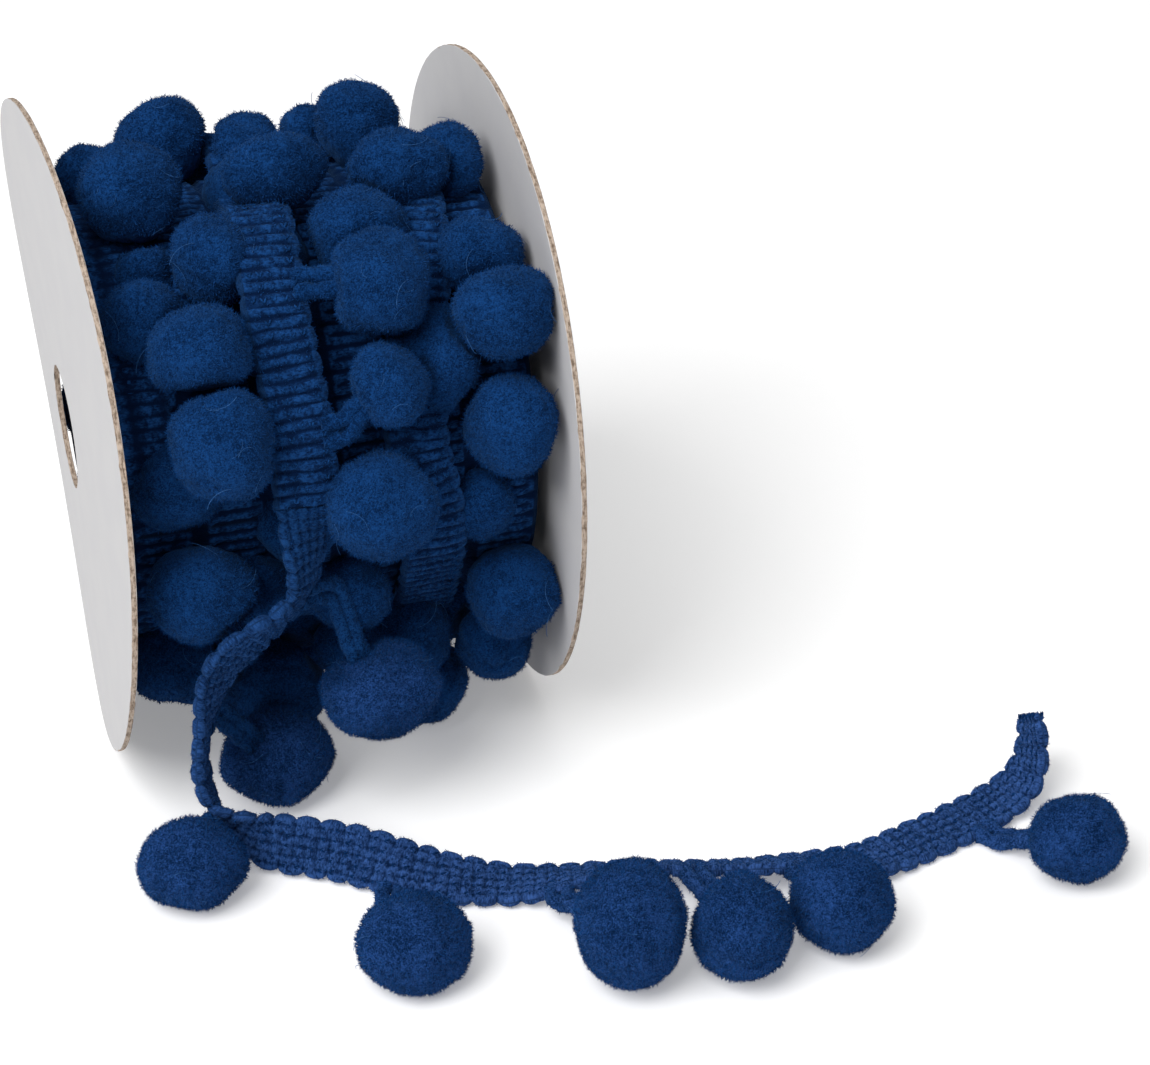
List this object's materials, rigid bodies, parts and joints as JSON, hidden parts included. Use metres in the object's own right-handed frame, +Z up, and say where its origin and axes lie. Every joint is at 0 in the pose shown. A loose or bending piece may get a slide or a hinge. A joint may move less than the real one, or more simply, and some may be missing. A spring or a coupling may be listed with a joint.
{
  "type": "pompom fringe trim wound on a card reel",
  "caption": "Woven braid edged with wool pompoms on short loops, wound on a white card reel with its loose end trailing on the floor in front.",
  "frame": {"origin": "on the floor at the foot of the left card", "axes": "+X along the reel's axle from the left card to the right one, +Z up, and the loose end lies towards -Y and +X"},
  "size_m": [0.1647, 0.173, 0.1148],
  "materials": {
    "white_card": "matte white paper-faced cardboard with a brown cut edge",
    "grey_board": "bare wound board",
    "blue_yarn": "deep blue wool felt balls and woven braid, matte and fuzzy"
  },
  "bodies": {
    "root": {"left_flange": "white_card", "right_flange": "white_card", "core_tube": "grey_board", "wound_trim": "blue_yarn", "loose_end": "blue_yarn"}
  },
  "joints": []
}
